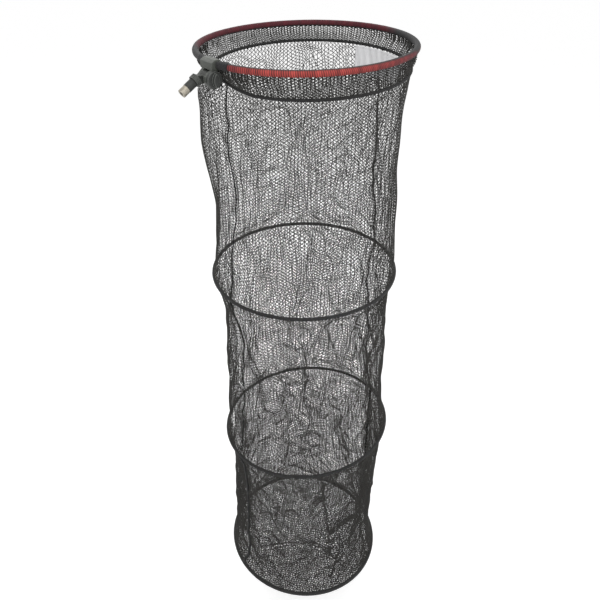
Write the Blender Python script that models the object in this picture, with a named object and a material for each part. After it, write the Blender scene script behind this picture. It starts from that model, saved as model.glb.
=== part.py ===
"""Keep net: a long net bag on a padded rim, held out from a bank stick by a tilting clamp.

Metres, +Z up. The origin is the mouth of the threaded socket, where the bank stick goes in.
The level rim lies towards +X from there, and the net hangs under it on three hoops.
In the clamp's own frame, x runs outward from the net, y along the rim and z up.
"""

import math

import bmesh
import bpy
from mathutils import Euler, Matrix, Vector

# Clearances
fit_gap = 0.0003
running_gap = 0.0004
overrun = 0.002
weld_reach = 0.00001

# Rim
rim_outside_diameter = 0.450
rim_pull = 0.0087
rim_rod_diameter = 0.0080
rim_cover_wall = 0.0022
rim_band_wall = 0.0012
rim_band_length = 0.026
joiner_wall = 0.0012
joiner_length = 0.030
rod_end_gap = 0.0006
rim_sides = 8

# Seam cord and collar
cord_diameter = 0.0060
cord_inset = 0.0120
cord_drop = 0.0425
cord_centre = (0.0030, -0.0020)
cord_lean = (math.radians(1.9), math.radians(1.0))
cord_rise = 0.013
cord_rise_spread = math.radians(11)
collar_wall = 0.0016
collar_rows = 3
collar_dip_spread = math.radians(16)
collar_dip_reach = 3

# Hoops, from the top: name, depth under the rim, sideways place, lean towards +X and +Y
hoop_outset = 0.0020
hoop_rod_diameter = 0.0065
hoop_tape_wall = 0.0010
base_tape_wall = 0.0018
hoop_ferrule_wall = 0.0006
hoop_ferrule_length = 0.040
hoop_ferrule_angle = math.radians(150)
hoop_sides = 6
upper_hoop_depth = 0.5243
lower_hoop_depth = 1.0042
base_hoop_depth = 1.5086
upper_hoop_centre = (0.0061, 0.0155)
lower_hoop_centre = (-0.0041, -0.0079)
base_hoop_centre = (-0.0039, 0.0007)
upper_hoop_lean = (math.radians(1.36), math.radians(0.63))
lower_hoop_lean = (math.radians(2.96), math.radians(-3.05))
base_hoop_lean = (math.radians(-1.19), math.radians(3.68))

# Netting
net_wall = 0.0012
net_strand = 0.0040
net_rows = 5
net_columns = 12
upper_net_waist = 0.009
middle_net_waist = 0.019
lower_net_waist = 0.015
waist_steepness = 5
upper_net_slack = 0.026
slack_angle = math.radians(148)
slack_spread = math.radians(32)
slack_start_share = 0.08
slack_full_share = 0.30
slack_end_share = 0.68
fold_count = 9
fold_height = 0.0040
base_net_wall = 0.0016
base_net_pitch = 0.0400
base_net_strand = 0.0030
base_net_border = 0.0085

# Label sewn inside the net
label_width = 0.147
label_height = 0.056
label_wall = 0.0005
label_slack = 0.0016
label_angle = math.radians(-2.3)
label_columns = 8
label_rows = 3

# Clamp block, seen from its end: outward and upward places from the rim's centre line
clamp_length = 0.038
clamp_out = 0.0130
clamp_in = 0.0090
clamp_top = 0.0092
clamp_bottom = 0.0100
clamp_top_chamfer = 0.0042
clamp_low_chamfer = 0.0020
clamp_edge_radius = 0.0010
clamp_screw_diameter = 0.0030
clamp_screw_head_diameter = 0.0054
clamp_screw_head_length = 0.0022
clamp_screw_length = 0.0150
clamp_screw_spacing = 0.0300
clamp_screw_drop = 0.0073

# Tilt pivot and the two ears that carry it
pivot_out = 0.0120
pivot_drop = 0.0240
front_ear_radius = 0.0145
front_ear_wall = 0.0070
rear_ear_radius = 0.0125
rear_ear_wall = 0.0065
ear_root_width = 0.0105
ear_turn_start = math.radians(155)
ear_turn_end = math.radians(385)
hub_width = 0.0170
hub_radius = 0.0125
pivot_bolt_diameter = 0.0060
bolt_head_flats = 0.0100
bolt_head_length = 0.0040
washer_diameter = 0.0160
washer_wall = 0.0010
tooth_count = 18
tooth_height = 0.0008
tooth_valley_share = 0.2
tooth_phase_share = 0.37
tooth_ring_inner = 0.0075
tooth_ring_outer = 0.0120

# Knob
knob_diameter = 0.0325
knob_wall = 0.0080
knob_edge_radius = 0.0018
grip_length = 0.0265
grip_width = 0.0120
grip_height = 0.0065
knob_nut_flats = 0.0100
knob_nut_length = 0.0050
knob_bore_depth = 0.0085

# Arm: u runs out along the arm from the pivot, and the arm's axis lies above the pivot
arm_slope = math.radians(31.2)
arm_offset = 0.0124
arm_neck_width = 0.0130
arm_neck_start = 0.0060
collar_start = 0.0170
collar_length = 0.0095
collar_diameter = 0.0230
groove_depth = 0.0009
groove_width = 0.0013
groove_count = 3
sleeve_diameter = 0.0175
sleeve_length = 0.0175
spigot_diameter = 0.0165
spigot_length = 0.0065
insert_exposed_length = 0.0140
insert_head_diameter = 0.0166
insert_body_diameter = 0.0120
insert_body_length = 0.0160
thread_bore_diameter = 0.0083

# Facets
ring_steps = 36
round_sides = 24
small_sides = 12
crease_angle = math.radians(40)

# Worked out from the sizes above
ring_turn = math.tau / ring_steps
rim_rod_radius = rim_rod_diameter / 2
rim_cover_inner = rim_rod_radius + fit_gap
rim_cover_outer = rim_cover_inner + rim_cover_wall
rim_mean_radius = rim_outside_diameter / 2 - rim_cover_outer
rim_long_half = rim_mean_radius + rim_pull
rim_short_half = rim_mean_radius - rim_pull
joiner_inner = rim_rod_radius + fit_gap
joiner_outer = joiner_inner + joiner_wall
band_inner = rim_cover_outer + fit_gap
band_outer = band_inner + rim_band_wall
cord_radius = cord_diameter / 2
cord_ring_radius = rim_mean_radius - cord_inset
hoop_ring_radius = rim_mean_radius + hoop_outset
hoop_rod_radius = hoop_rod_diameter / 2
ferrule_inner = hoop_rod_radius + fit_gap
ferrule_outer = ferrule_inner + hoop_ferrule_wall
tape_inner = ferrule_outer + fit_gap
tape_outer = tape_inner + hoop_tape_wall
base_tape_outer = tape_inner + base_tape_wall
tape_slit = base_net_wall + 2 * fit_gap
clamp_half = clamp_length / 2
bolt_radius = pivot_bolt_diameter / 2
rear_ear_inner = -hub_width / 2 - running_gap
rear_ear_back = rear_ear_inner - rear_ear_wall
hub_tooth_face = hub_width / 2
front_ear_inner = hub_tooth_face + 2 * tooth_height + running_gap
front_ear_front = front_ear_inner + front_ear_wall
washer_front = front_ear_front + fit_gap + washer_wall
knob_back = washer_front + fit_gap
sleeve_start = collar_start + collar_length + fit_gap
sleeve_end = sleeve_start + sleeve_length
insert_end = sleeve_end + fit_gap + insert_exposed_length
insert_body_start = sleeve_end - insert_body_length

# Places: the socket's mouth in the clamp's frame, and from it the rim's centre
mouth_out = pivot_out + insert_end * math.cos(arm_slope) + arm_offset * math.sin(arm_slope)
mouth_drop = pivot_drop + insert_end * math.sin(arm_slope) - arm_offset * math.cos(arm_slope)
rim_centre = Vector((rim_long_half + mouth_out, 0, mouth_drop))
half_turn = math.pi


# Materials

def finish(name, colour, roughness, metallic=0.0, alpha=1.0):
    """A plain Principled material."""
    made = bpy.data.materials.new(name)
    made.use_nodes = True
    shader = made.node_tree.nodes["Principled BSDF"]
    shader.inputs["Base Color"].default_value = (*colour, 1.0)
    shader.inputs["Roughness"].default_value = roughness
    shader.inputs["Metallic"].default_value = metallic
    shader.inputs["Alpha"].default_value = alpha
    made.diffuse_color = (*colour, alpha)
    return made


def make_finishes():
    """Every finish on the net, by name."""
    return {
        "netting": finish("netting", (0.022, 0.022, 0.021), 0.85, alpha=0.55),
        "tape": finish("tape", (0.012, 0.012, 0.013), 0.80),
        "red_cover": finish("red_cover", (0.50, 0.025, 0.022), 0.55),
        "black_band": finish("black_band", (0.018, 0.018, 0.019), 0.60),
        "rim_alloy": finish("rim_alloy", (0.60, 0.60, 0.61), 0.35, metallic=1.0),
        "hoop_plastic": finish("hoop_plastic", (0.03, 0.03, 0.03), 0.50),
        "ferrule_brass": finish("ferrule_brass", (0.62, 0.52, 0.34), 0.35, metallic=1.0),
        "bolt_steel": finish("bolt_steel", (0.55, 0.55, 0.56), 0.30, metallic=1.0),
        "clamp_plastic": finish("clamp_plastic", (0.085, 0.092, 0.080), 0.55),
        "arm_plastic": finish("arm_plastic", (0.040, 0.043, 0.039), 0.50),
        "knob_plastic": finish("knob_plastic", (0.034, 0.036, 0.034), 0.48),
        "brass": finish("brass", (0.62, 0.52, 0.34), 0.35, metallic=1.0),
        "label_cloth": finish("label_cloth", (0.80, 0.80, 0.82), 0.70),
    }


# Frames

def clear_scene():
    for item in list(bpy.data.objects):
        bpy.data.objects.remove(item, do_unlink=True)


def frame_at(name, place, turn=(0, 0, 0), parent=None):
    """An empty that carries the pieces of one frame."""
    empty = bpy.data.objects.new(name, None)
    bpy.context.scene.collection.objects.link(empty)
    empty.location = place
    empty.rotation_euler = turn
    empty.parent = parent
    return empty


def lean_turn(lean):
    """Turn that raises a level ring towards +X and +Y by two small angles."""
    return (lean[1], -lean[0], 0)


def lean_matrix(centre, depth, lean):
    turn = Euler(lean_turn(lean)).to_matrix().to_4x4()
    return Matrix.Translation((centre[0], centre[1], -depth)) @ turn


# Mesh helpers

def face_outward(shape):
    """Turn every face of a closed solid outward."""
    bmesh.ops.recalc_face_normals(shape, faces=shape.faces)
    if shape.calc_volume(signed=True) < 0:
        bmesh.ops.reverse_faces(shape, faces=shape.faces)


def solid(name, shape, material, parent, smooth=True):
    """Turn a bmesh into a named object under its frame."""
    face_outward(shape)
    mesh = bpy.data.meshes.new(name)
    shape.to_mesh(mesh)
    shape.free()
    if smooth:
        mesh.shade_smooth()
        mesh.set_sharp_from_angle(angle=crease_angle)
    mesh.materials.append(material)
    made = bpy.data.objects.new(name, mesh)
    bpy.context.scene.collection.objects.link(made)
    made.parent = parent
    return made


def cutter(name, shape, parent):
    """A guide solid that only cuts or joins, and isn't part of the net."""
    face_outward(shape)
    mesh = bpy.data.meshes.new(name)
    shape.to_mesh(mesh)
    shape.free()
    made = bpy.data.objects.new(name, mesh)
    bpy.context.scene.collection.objects.link(made)
    made.parent = parent
    made.hide_render = True
    made.display_type = "WIRE"
    return made


def combine(target, other, operation):
    step = target.modifiers.new(operation.lower(), "BOOLEAN")
    step.operation = operation
    step.object = other
    step.solver = "EXACT"


def weld(target):
    """Merge the corners that meet at one point after the cuts."""
    step = target.modifiers.new("weld", "WELD")
    step.merge_threshold = weld_reach


def loop_of(shape, points):
    """A closed loop of edges through 3-D points."""
    verts = [shape.verts.new(p) for p in points]
    for k, vert in enumerate(verts):
        shape.edges.new((vert, verts[(k + 1) % len(verts)]))
    return verts


def round_section(radius, sides):
    """Corners of a round section, with a flat facing each way along its own x axis."""
    step = math.tau / sides
    corners = [(k + 0.5) * step for k in range(sides)]
    return [(radius * math.cos(c), radius * math.sin(c)) for c in corners]


def open_section(inner, outer, sides):
    """A folded tape's section: a round tube with a slit towards the ring's centre."""
    step = math.tau / sides
    corners = [-half_turn + (k + 0.5) * step for k in range(sides)]
    flat = math.cos(step / 2)
    outside = [(outer * math.cos(c), outer * math.sin(c)) for c in corners]
    inside = [(inner * math.cos(c), inner * math.sin(c)) for c in reversed(corners)]
    upper_lip = [(-outer * flat, tape_slit / 2), (-inner * flat, tape_slit / 2)]
    lower_lip = [(-inner * flat, -tape_slit / 2), (-outer * flat, -tape_slit / 2)]
    return outside + upper_lip + inside + lower_lip


def ring(sections, ring_radius):
    """Spin closed sections, given across and up from the ring's centre line, round Z."""
    shape = bmesh.new()
    for section in sections:
        loop_of(shape, [(ring_radius + across, 0, up) for across, up in section])
    bmesh.ops.spin(shape, geom=shape.verts[:] + shape.edges[:], cent=(0, 0, 0), axis=(0, 0, 1),
                   dvec=(0, 0, 0), angle=math.tau, steps=ring_steps, use_merge=True)
    return shape


def rim_ring(sections):
    """A ring drawn out to the rim's oval."""
    shape = ring(sections, rim_mean_radius)
    stretch = (rim_long_half / rim_mean_radius, rim_short_half / rim_mean_radius, 1)
    bmesh.ops.scale(shape, vec=stretch, verts=shape.verts)
    return shape


def slice_across(shape, side_place):
    """Cut the part of a ring near the clamp along a plane square to the rim there."""
    near = [f for f in shape.faces if f.calc_center_median().x < 0]
    geometry = set(near)
    for face in near:
        geometry.update(face.verts)
        geometry.update(face.edges)
    bmesh.ops.bisect_plane(shape, geom=list(geometry), plane_co=(0, side_place, 0),
                           plane_no=(0, 1, 0), dist=fit_gap / 100)


def bridge_end(shape, edges):
    """Close a tube's end: a face from each edge outside to the corners nearest it inside."""
    corners = {v for e in edges for v in e.verts}
    middle = sum((v.co for v in corners), Vector()) / len(corners)
    mean = sum((v.co - middle).length for v in corners) / len(corners)
    inside = [v for v in corners if (v.co - middle).length < mean]
    for edge in edges:
        one, two = edge.verts
        if one in inside:
            continue
        near = [min(inside, key=lambda v: (v.co - w.co).length) for w in (one, two)]
        shape.faces.new((one, two, near[1], near[0]))


def close_ends(shape, hollow):
    """Close the open ends left by a cut, each end's walls to its own bore."""
    open_edges = [e for e in shape.edges if e.is_boundary]
    middle = sum(e.verts[0].co.y for e in open_edges) / len(open_edges)
    for upward in (True, False):
        here = [e for e in open_edges if (e.verts[0].co.y > middle) == upward]
        if hollow:
            bridge_end(shape, here)
        else:
            bmesh.ops.contextual_create(shape, geom=here)


def cut_rim(shape, low, high, keep_between, hollow):
    """Keep or remove the stretch of a rim ring between two places along the clamp."""
    slice_across(shape, low)
    slice_across(shape, high)

    def between(face):
        spot = face.calc_center_median()
        return spot.x < 0 and low < spot.y < high

    gone = [f for f in shape.faces if between(f) != keep_between]
    bmesh.ops.delete(shape, geom=gone, context="FACES")
    close_ends(shape, hollow)
    return shape


def prism(outline, start, length, spread="y"):
    """Extrude an outline of (x, z) points along y, or of (y, z) points along x."""
    shape = bmesh.new()
    if spread == "y":
        verts = [shape.verts.new((x, start, z)) for x, z in outline]
        reach = (0, length, 0)
    else:
        verts = [shape.verts.new((start, y, z)) for y, z in outline]
        reach = (length, 0, 0)
    face = shape.faces.new(verts)
    moved = bmesh.ops.extrude_face_region(shape, geom=[face])
    ends = [v for v in moved["geom"] if isinstance(v, bmesh.types.BMVert)]
    bmesh.ops.translate(shape, vec=reach, verts=ends)
    return shape


def arc_points(centre, radius, start, end, steps):
    sweep = (end - start) / steps
    turns = [start + sweep * k for k in range(steps + 1)]
    return [(centre[0] + radius * math.cos(t), centre[1] + radius * math.sin(t)) for t in turns]


def hexagon(flats):
    return round_section(flats / 2 / math.cos(math.radians(30)), 6)


def turned(profile, sides, centre=(0, 0)):
    """Turn a profile of (along, radius) points round the x axis.

    A profile that starts and ends on the axis is left open there, and closes to two poles."""
    shape = bmesh.new()
    verts = [shape.verts.new((along, 0, radius)) for along, radius in profile]
    for one, two in zip(verts, verts[1:]):
        shape.edges.new((one, two))
    if profile[0][1] > 0:
        shape.edges.new((verts[-1], verts[0]))
    bmesh.ops.spin(shape, geom=shape.verts[:] + shape.edges[:], cent=(0, 0, 0), axis=(1, 0, 0),
                   dvec=(0, 0, 0), angle=math.tau, steps=sides, use_merge=True)
    bmesh.ops.remove_doubles(shape, verts=shape.verts, dist=fit_gap / 100)
    bmesh.ops.translate(shape, vec=(0, centre[0], centre[1]), verts=shape.verts)
    return shape


def along_y(shape):
    """Turn a piece made along x so that it runs along y."""
    bmesh.ops.rotate(shape, cent=(0, 0, 0), matrix=Matrix.Rotation(half_turn / 2, 3, "Z"),
                     verts=shape.verts)
    return shape


# Rim

def rim_pieces(finishes, frame):
    rod = cut_rim(rim_ring([round_section(rim_rod_radius, rim_sides)]),
                  -rod_end_gap / 2, rod_end_gap / 2, False, False)
    solid("rim_rod", rod, finishes["rim_alloy"], frame)

    tube = [round_section(joiner_outer, rim_sides), round_section(joiner_inner, rim_sides)]
    joiner = cut_rim(rim_ring(tube), -joiner_length / 2, joiner_length / 2, True, True)
    solid("rim_joiner", joiner, finishes["bolt_steel"], frame)

    cover_end = clamp_half + fit_gap
    tube = [round_section(rim_cover_outer, rim_sides), round_section(rim_cover_inner, rim_sides)]
    cover = cut_rim(rim_ring(tube), -cover_end, cover_end, False, True)
    solid("rim_cover", cover, finishes["red_cover"], frame)

    band_end = cover_end + rim_band_length
    tube = [round_section(band_outer, rim_sides), round_section(band_inner, rim_sides)]
    front = cut_rim(rim_ring(tube), -band_end, -cover_end, True, True)
    solid("rim_band_front", front, finishes["black_band"], frame)
    rear = cut_rim(rim_ring(tube), cover_end, band_end, True, True)
    solid("rim_band_rear", rear, finishes["black_band"], frame)


# Seam cord, collar and net walls, all on the same angles round the net

def bump(angle, spread):
    """1 at the clamp, falling away to 0 on both sides of it."""
    away = abs(math.remainder(angle - half_turn, math.tau)) / spread
    return math.exp(-away * away)


def outward(angle):
    return Vector((math.cos(angle), math.sin(angle), 0))


def cord_point(angle):
    """Centre of the seam cord at an angle round the net."""
    ring_frame = lean_matrix(cord_centre, cord_drop, cord_lean)
    return ring_frame @ (outward(angle) * cord_ring_radius) + Vector((0, 0, cord_rise)) * bump(
        angle, cord_rise_spread)


def hoop_point(hoop, angle, rise):
    """A point over or under a hoop's centre line, by the hoop's own upright."""
    ring_frame = lean_matrix(hoop["centre"], hoop["depth"], hoop["lean"])
    return ring_frame @ (outward(angle) * hoop_ring_radius + Vector((0, 0, rise)))


def sleeve(rows, wall, place):
    """A closed net wall. place(angle, share) gives its middle, share 0 at the top and 1 below."""
    shares = [k / rows for k in range(rows + 1)]
    section = [(wall / 2, s) for s in shares] + [(-wall / 2, s) for s in reversed(shares)]
    shape = ring([section], 1)
    for vert in shape.verts:
        angle = math.atan2(vert.co.y, vert.co.x)
        side = vert.co.xy.length - 1
        vert.co = place(angle, vert.co.z) + outward(angle) * side
    return shape


def lattice_angles():
    """Where a lattice has corners round the net: both edges of each upright, then the steps."""
    steps_between = ring_steps // net_columns
    half_strand = net_strand / 2 / hoop_ring_radius
    angles = []
    for middle in range(0, ring_steps, steps_between):
        angles += [middle * ring_turn - half_strand, middle * ring_turn + half_strand]
        angles += [(middle + k) * ring_turn for k in range(1, steps_between)]
    return angles


def straight_between_steps(place, angle, share):
    """A wall's place where it runs straight from one step of the ring to the next."""
    step = math.floor(angle / ring_turn)
    start, end = place(step * ring_turn, share), place((step + 1) * ring_turn, share)
    return start.lerp(end, angle / ring_turn - step)


def lattice(height, place):
    """A net wall of upright and level strands round large gaps. place() is as for a sleeve.

    The top and foot strands keep every step of the ring, so that they follow the cord and the
    tape. The strands between them run straight from one upright to the next.
    """
    reach = net_strand / height
    pitch = (1 - reach) / net_rows
    angles = lattice_angles()
    in_column = len(angles) // net_columns
    shape = bmesh.new()
    levels = [row * pitch + side for row in range(net_rows + 1) for side in (0, reach)]
    line = [shape.verts.new((1, 0, level)) for level in levels]
    for one, two in zip(line, line[1:]):
        shape.edges.new((one, two))
    bmesh.ops.spin(shape, geom=shape.verts[:] + shape.edges[:], cent=(0, 0, 0), axis=(0, 0, 1),
                   dvec=(0, 0, 0), angle=math.tau, steps=len(angles), use_merge=True)

    step = math.tau / len(angles)
    station = {v: round(math.atan2(v.co.y, v.co.x) / step) % len(angles) for v in shape.verts}
    off_strand = [v for v in shape.verts if station[v] % in_column > 1]
    gaps = [f for f in shape.faces if f.calc_center_median().z % pitch > reach
            and any(v in off_strand for v in f.verts)]
    for vert in shape.verts:
        along = angles[station[vert]]
        vert.co = (math.cos(along), math.sin(along), vert.co.z)
    bmesh.ops.delete(shape, geom=gaps, context="FACES")
    between = [v for v in off_strand if abs(v.co.z - 0.5) < 0.5 - 1.5 * reach]
    bmesh.ops.dissolve_verts(shape, verts=between)

    moved = bmesh.ops.extrude_face_region(shape, geom=shape.faces[:])
    outer = [v for v in moved["geom"] if isinstance(v, bmesh.types.BMVert)]
    bmesh.ops.scale(shape, vec=(1 + net_wall, 1 + net_wall, 1), verts=outer)
    for vert in shape.verts:
        angle = math.atan2(vert.co.y, vert.co.x)
        side = vert.co.xy.length - 1 - net_wall / 2
        middle = straight_between_steps(place, angle, vert.co.z)
        vert.co = middle + outward(angle) * side
    return shape


def cord_and_collar(finishes, frame):
    shape = ring([round_section(cord_radius, hoop_sides)], cord_ring_radius)
    for vert in shape.verts:
        angle = math.atan2(vert.co.y, vert.co.x)
        across = outward(angle) * (vert.co.xy.length - cord_ring_radius)
        vert.co = cord_point(angle) + across + Vector((0, 0, vert.co.z))
    solid("seam_cord", shape, finishes["tape"], frame)

    def collar_place(angle, share):
        oval = Vector((rim_long_half * math.cos(angle), rim_short_half * math.sin(angle), 0))
        under_cover = rim_cover_outer + fit_gap
        under_clamp = clamp_bottom + 2 * fit_gap
        dip = min(1, collar_dip_reach * bump(angle, collar_dip_spread))
        top = oval - Vector((0, 0, under_cover + (under_clamp - under_cover) * dip))
        foot = cord_point(angle) + Vector((0, 0, cord_radius + fit_gap))
        return top.lerp(foot, share)

    shape = sleeve(collar_rows, collar_wall, collar_place)
    solid("collar_net", shape, finishes["netting"], frame)


def slack_share(angle, share):
    """How much of the slack netting under the rim's far left side is at a place, from 0 to 1."""
    away = math.remainder(angle - slack_angle, math.tau) / slack_spread
    fade = (share - slack_full_share) / (slack_end_share - slack_full_share)
    fade = min(1, max(0, fade))
    down = min(1, share / slack_start_share) * (1 - fade * fade * (3 - 2 * fade))
    return math.exp(-away * away) * down


def net_place(top, foot, waist, phase, slack):
    """The middle of a net wall that hangs between two rings, drawn in with upright folds."""
    def place(angle, share):
        inward = 1 - abs(2 * share - 1) ** waist_steepness
        fold = math.cos(fold_count * angle + phase) * math.sin(half_turn * share)
        straight = top(angle).lerp(foot(angle), share)
        bulge = slack * slack_share(angle, share)
        return straight + outward(angle) * (fold_height * fold - waist * inward + bulge)
    return place


def hoop_table():
    """The three hoops, from the top."""
    return [
        {"name": "upper_hoop", "depth": upper_hoop_depth, "centre": upper_hoop_centre,
         "lean": upper_hoop_lean, "outer": tape_outer},
        {"name": "lower_hoop", "depth": lower_hoop_depth, "centre": lower_hoop_centre,
         "lean": lower_hoop_lean, "outer": tape_outer},
        {"name": "base_hoop", "depth": base_hoop_depth, "centre": base_hoop_centre,
         "lean": base_hoop_lean, "outer": base_tape_outer},
    ]


def net_walls(finishes, frame, hoops):
    edge = hoops[0]["outer"] + fit_gap
    upper, lower, base = hoops
    base_edge = base["outer"] + fit_gap

    def under_cord(angle):
        return cord_point(angle) - Vector((0, 0, cord_radius + fit_gap))

    walls = [
        ("upper_net", under_cord, lambda a: hoop_point(upper, a, edge), upper_net_waist,
         upper_net_slack),
        ("middle_net", lambda a: hoop_point(upper, a, -edge),
         lambda a: hoop_point(lower, a, edge), middle_net_waist, 0),
        ("lower_net", lambda a: hoop_point(lower, a, -edge),
         lambda a: hoop_point(base, a, base_edge), lower_net_waist, 0),
    ]
    for number, (name, top, foot, waist, slack) in enumerate(walls):
        height = top(0).z - foot(0).z
        shape = lattice(height, net_place(top, foot, waist, number, slack))
        solid(name, shape, finishes["netting"], frame)


def sewn_label(finishes, frame, upper):
    """A cloth label that hangs from the seam, just inside the upper net's first row."""
    edge = upper["outer"] + fit_gap
    fall = (upper_hoop_depth - cord_drop) / net_rows
    place = net_place(lambda a: cord_point(a) - Vector((0, 0, cord_radius + fit_gap)),
                      lambda a: hoop_point(upper, a, edge), upper_net_waist, 0,
                      upper_net_slack)
    inset = (net_wall + label_wall) / 2 + label_slack
    sweep = label_width / cord_ring_radius
    shape = bmesh.new()
    bmesh.ops.create_grid(shape, x_segments=label_columns, y_segments=label_rows, size=0.5)
    moved = bmesh.ops.extrude_face_region(shape, geom=shape.faces[:])
    raised = [v for v in moved["geom"] if isinstance(v, bmesh.types.BMVert)]
    bmesh.ops.translate(shape, vec=(0, 0, 1), verts=raised)
    for vert in shape.verts:
        angle = label_angle + sweep * vert.co.x
        share = (0.5 - vert.co.y) * label_height / fall
        depth = inset - label_wall * (vert.co.z - 0.5)
        row = place(angle, 0).lerp(place(angle, 1 / net_rows), share)
        vert.co = row - outward(angle) * depth
    solid("label", shape, finishes["label_cloth"], frame)


# Hoops

def hoop_pieces(finishes, hoop, frame):
    name = hoop["name"]
    rod = ring([round_section(hoop_rod_radius, hoop_sides)], hoop_ring_radius)
    solid(name + "_rod", rod, finishes["hoop_plastic"], frame)

    tube = [round_section(ferrule_outer, hoop_sides), round_section(ferrule_inner, hoop_sides)]
    shape = ring(tube, hoop_ring_radius)
    bmesh.ops.rotate(shape, cent=(0, 0, 0), verts=shape.verts,
                     matrix=Matrix.Rotation(half_turn, 3, "Z"))
    half = hoop_ferrule_length / 2
    ferrule = cut_rim(shape, -half, half, True, True)
    turn = round((hoop_ferrule_angle - half_turn) / ring_turn) * ring_turn
    bmesh.ops.rotate(ferrule, cent=(0, 0, 0), verts=ferrule.verts,
                     matrix=Matrix.Rotation(turn, 3, "Z"))
    solid(name + "_ferrule", ferrule, finishes["ferrule_brass"], frame)

    tape = ring([open_section(tape_inner, hoop["outer"], hoop_sides)], hoop_ring_radius)
    solid(name + "_tape", tape, finishes["tape"], frame)


def base_net(finishes, hoop, frame):
    """The flat net across the base hoop: square gaps inside a border sewn into the tape."""
    radius = hoop_ring_radius - ferrule_outer * math.cos(half_turn / hoop_sides) - fit_gap
    shape = bmesh.new()
    bmesh.ops.create_circle(shape, cap_ends=True, radius=radius, segments=ring_steps)
    bmesh.ops.translate(shape, vec=(0, 0, -base_net_wall / 2), verts=shape.verts)
    moved = bmesh.ops.extrude_face_region(shape, geom=shape.faces[:])
    raised = [v for v in moved["geom"] if isinstance(v, bmesh.types.BMVert)]
    bmesh.ops.translate(shape, vec=(0, 0, base_net_wall), verts=raised)
    disc = solid("base_net", shape, finishes["netting"], frame, smooth=False)

    gaps = bmesh.new()
    reach = math.ceil(radius / base_net_pitch)
    gap = base_net_pitch - base_net_strand
    clear = radius - base_net_border
    height = base_net_wall + 2 * overrun
    for column in range(-reach, reach + 1):
        for row in range(-reach, reach + 1):
            spot = (column * base_net_pitch, row * base_net_pitch, 0)
            if math.hypot(abs(spot[0]) + gap / 2, abs(spot[1]) + gap / 2) > clear + gap / 2:
                continue
            made = bmesh.ops.create_cube(gaps, size=1)
            bmesh.ops.scale(gaps, vec=(gap, gap, height), verts=made["verts"])
            bmesh.ops.translate(gaps, vec=spot, verts=made["verts"])
    squares = cutter("base_net_gaps", gaps, frame)
    round_edge = bmesh.new()
    bmesh.ops.create_cone(round_edge, cap_ends=True, radius1=clear, radius2=clear,
                          depth=base_net_wall + 4 * overrun, segments=ring_steps)
    combine(squares, cutter("base_net_edge", round_edge, frame), "INTERSECT")
    combine(disc, squares, "DIFFERENCE")


# Clamp

def ear(radius, start, wall):
    """A round ear on the pivot, with a root that reaches up into the clamp block."""
    centre = (pivot_out, -pivot_drop)
    root = -clamp_bottom + overrun
    outer_root = (clamp_out - clamp_low_chamfer, root)
    inner_root = (clamp_out - clamp_low_chamfer - ear_root_width, root)
    rounded = arc_points(centre, radius, ear_turn_start, ear_turn_end, round_sides // 2)
    return prism([inner_root] + rounded + [outer_root], start, wall)


def tooth_ring(base, valley, tip, flip):
    """A ring of radial teeth round the y axis, from its flat base to its ridges."""
    shape = bmesh.new()
    count = 2 * tooth_count
    rings = []
    for radius in (tooth_ring_inner, tooth_ring_outer):
        for toothed in (True, False):
            verts = []
            for k in range(count):
                turn = (k + flip + tooth_phase_share) * math.tau / count
                depth = base if not toothed else (tip if k % 2 else valley)
                verts.append(shape.verts.new((radius * math.cos(turn), depth,
                                              radius * math.sin(turn))))
            rings.append(verts)
    inner_top, inner_flat, outer_top, outer_flat = rings
    walls = ((inner_top, outer_top), (outer_top, outer_flat), (outer_flat, inner_flat),
             (inner_flat, inner_top))
    for one, two in walls:
        for k in range(count):
            after = (k + 1) % count
            shape.faces.new((one[k], one[after], two[after], two[k]))
    return shape


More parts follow.
